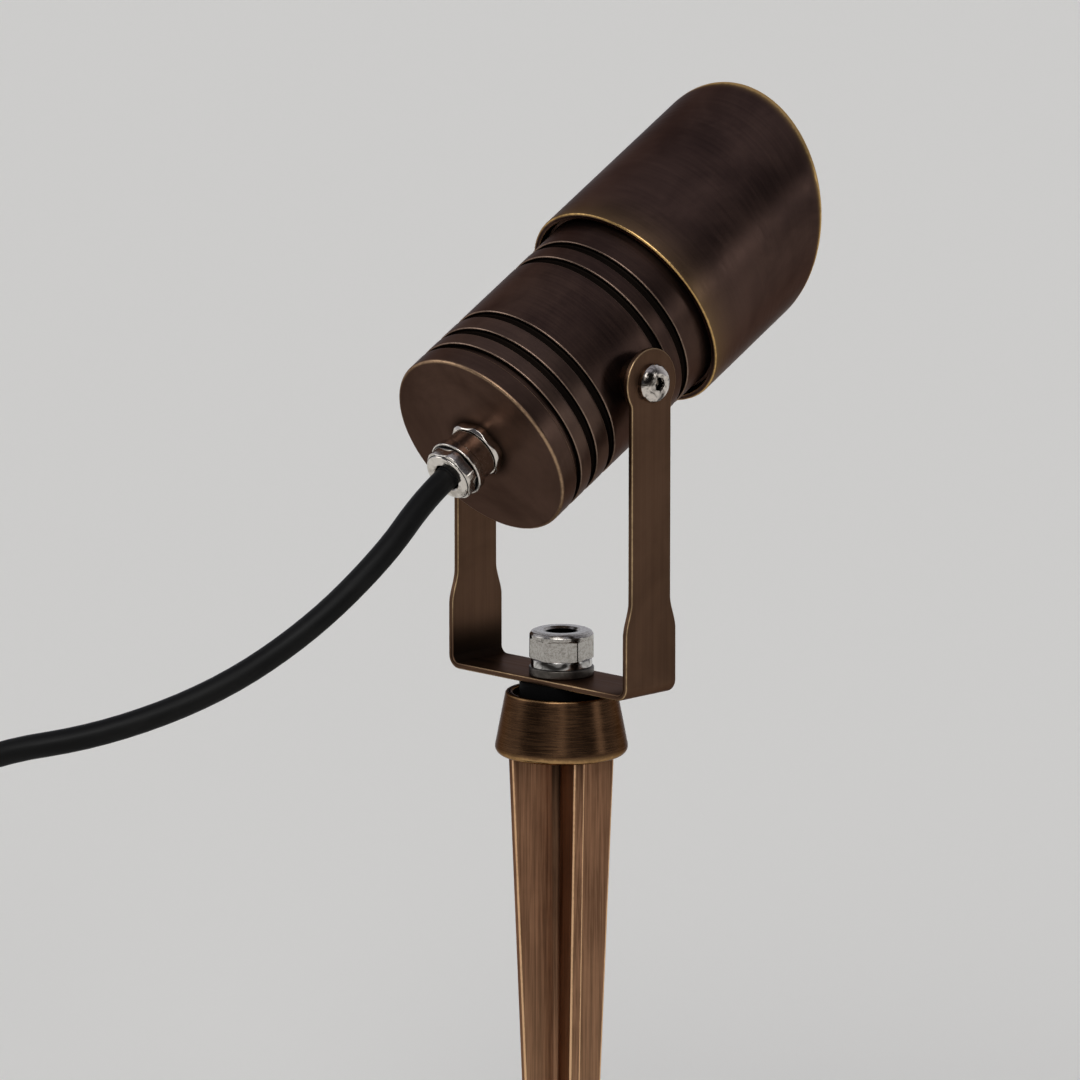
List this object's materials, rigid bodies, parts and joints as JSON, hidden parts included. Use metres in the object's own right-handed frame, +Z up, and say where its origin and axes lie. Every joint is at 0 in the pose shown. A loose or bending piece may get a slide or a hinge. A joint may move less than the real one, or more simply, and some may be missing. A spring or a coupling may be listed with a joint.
{
  "type": "garden spike spotlight",
  "caption": "Outdoor spotlight with a turned cylindrical head and oblique cowl, tilting in a U-bracket on a swivel collar and cross-bladed ground spike, with a coiled supply cable.",
  "frame": {"origin": "centre of the collar's underside, at the ground line where the spike enters the soil", "axes": "+Z up along the spike and swivel axis; X along the head's pivot axis; at rest the head points along +Y and up"},
  "size_m": [0.1908, 0.2279, 0.3408],
  "materials": {
    "antique_bronze_turned": "dark antique bronze patina on turned brass, worn to brass at the edges",
    "antique_bronze_strip": "dark antique bronze patina on brushed strip, worn edges",
    "antique_bronze_collar": "lathe-brushed antique bronze, worn rims",
    "antique_bronze_spike": "lengthwise brushed antique bronze",
    "stainless_fastener": "bright stainless steel",
    "dark_washer": "dark grey steel",
    "pivot_brass": "dark bronze",
    "nickel_gland": "nickel-plated brass",
    "black_rubber": "matt black rubber",
    "cable_rubber": "matt black rubber sheath",
    "tie_nylon": "black nylon",
    "lens_glass": "clear toughened glass",
    "lamp_white": "white heat-resistant plastic",
    "lamp_diffuser": "frosted lamp face",
    "lamp_contact": "plated brass pins",
    "holder_ceramic": "off-white heat-resistant holder",
    "zinc_steel": "zinc-plated steel",
    "core_brown": "brown core insulation",
    "core_blue": "blue core insulation",
    "core_green_yellow": "green and yellow core insulation",
    "ferrule_tin": "tinned crimp ferrules"
  },
  "bodies": {
    "stake": {"spike": "antique_bronze_spike", "collar": "antique_bronze_collar", "swivel_stud": "stainless_fastener", "swivel_bush": "black_rubber", "flat_washer": "dark_washer", "spring_washer": "stainless_fastener", "swivel_nut": "stainless_fastener"},
    "bracket": {"bracket": "antique_bronze_strip", "cable_coil": "cable_rubber", "coil_tie": "tie_nylon", "core_live": "core_brown", "core_neutral": "core_blue", "core_earth": "core_green_yellow", "core_ferrules": "ferrule_tin"},
    "head": {"bridge_screws": "zinc_steel", "cable": "cable_rubber", "cable_inlet": "cable_rubber", "cowl_o_ring": "black_rubber", "earth_screw": "zinc_steel", "front_lens": "lens_glass", "gland_body": "nickel_gland", "gland_locknut": "nickel_gland", "gland_nut": "nickel_gland", "gland_seal": "black_rubber", "holder_bridge": "zinc_steel", "holder_screws": "zinc_steel", "lamp_body": "antique_bronze_turned", "lamp_face": "lamp_diffuser", "lamp_holder": "holder_ceramic", "lamp_housing": "lamp_white", "lamp_pins": "lamp_contact", "lens_gasket": "black_rubber", "lens_ring": "antique_bronze_turned", "pivot_screws": "stainless_fastener", "pivot_spacers": "pivot_brass", "pivot_washers": "pivot_brass", "rear_cap": "antique_bronze_turned", "rear_cap_o_ring": "black_rubber", "wire_earth": "core_green_yellow", "wire_live": "core_brown", "wire_neutral": "core_blue"},
    "cowl": {"cowl": "antique_bronze_turned"}
  },
  "joints": [
    {"name": "bracket_swivel", "type": "hinge", "parent": "stake", "child": "bracket", "pos_m": [0, 0, 0.0195], "axis": [0, 0, 1], "range_deg": [-175, 175]},
    {"name": "head_tilt", "type": "hinge", "parent": "bracket", "child": "head", "pos_m": [0, 0, 0.102], "axis": [1, 0, 0], "range_deg": [-74, 46], "deforming": ["cable"]},
    {"name": "cowl_turn", "type": "hinge", "parent": "head", "child": "cowl", "pos_m": [0, 0, 0.102], "axis": [0, 0.8746, 0.4848], "continuous": true}
  ]
}
